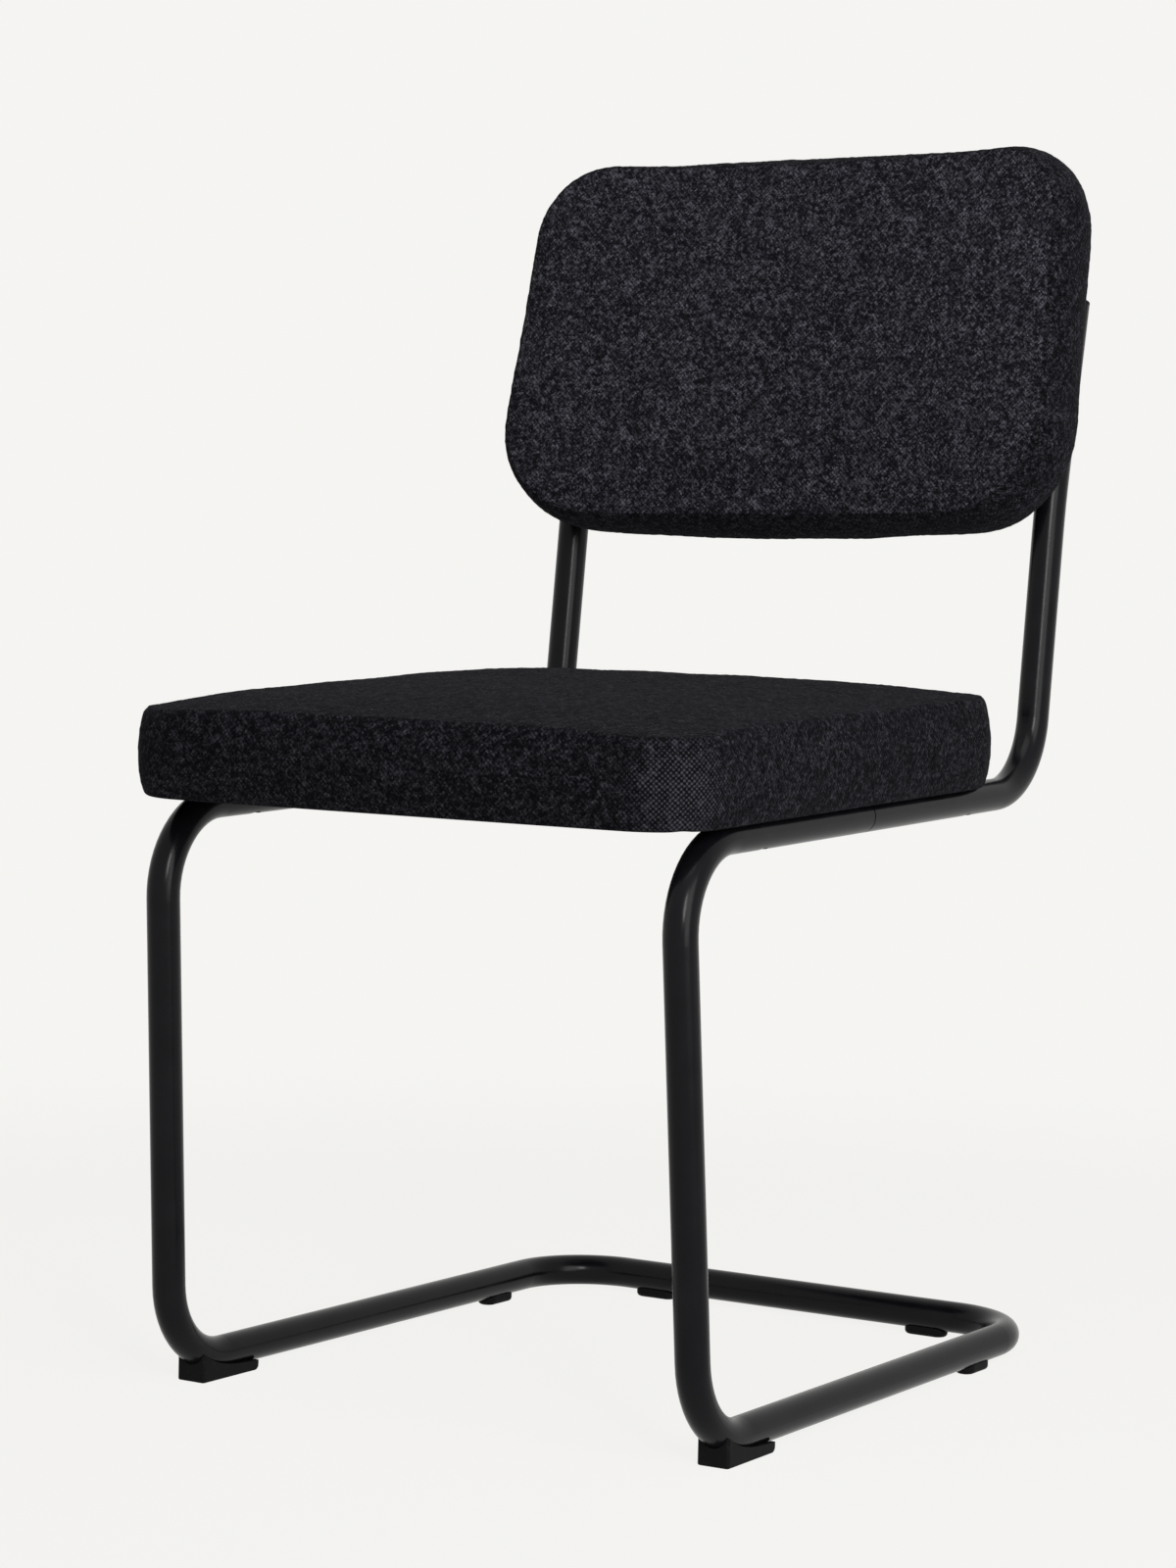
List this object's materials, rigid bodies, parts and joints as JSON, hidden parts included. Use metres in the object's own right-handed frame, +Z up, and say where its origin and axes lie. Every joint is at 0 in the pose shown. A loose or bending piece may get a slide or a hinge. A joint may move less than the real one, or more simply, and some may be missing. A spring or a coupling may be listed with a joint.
{
  "type": "cantilever chair",
  "caption": "Cantilever side chair: a black tubular steel sled frame carries a boxed upholstered seat and a curved upholstered backrest.",
  "frame": {"origin": "on the floor, under the middle of the chair's bounding box", "axes": "+Z up, +Y towards the backrest so that the sitter faces -Y, +X to the right of a viewer who faces the chair"},
  "size_m": [0.4542, 0.6013, 0.8767],
  "materials": {
    "frame_coat": "satin black powder coat",
    "plated_steel": "zinc plated",
    "black_steel": "blackened",
    "upholstery": "charcoal looped wool weave",
    "lining_cloth": "thin non-woven cloth",
    "foam": "open-cell foam",
    "plywood": "raw beech plywood",
    "black_plastic": "fine matte moulding"
  },
  "bodies": {
    "root": {"back_board": "plywood", "back_bolts": "black_steel", "back_cover": "upholstery", "back_foam": "foam", "back_lining": "foam", "back_post_left": "frame_coat", "back_post_right": "frame_coat", "back_t_nuts": "plated_steel", "bar_glide_left": "black_plastic", "bar_glide_right": "black_plastic", "base_frame": "frame_coat", "foot_screws": "plated_steel", "front_foot_left": "black_plastic", "front_foot_right": "black_plastic", "joint_sleeve_left": "plated_steel", "joint_sleeve_right": "plated_steel", "post_cap_left": "black_plastic", "post_cap_right": "black_plastic", "rail_glide_left": "black_plastic", "rail_glide_right": "black_plastic", "seat_board": "plywood", "seat_bolts": "black_steel", "seat_cover": "upholstery", "seat_dust_cover": "lining_cloth", "seat_foam": "foam", "seat_t_nuts": "plated_steel"}
  },
  "joints": []
}
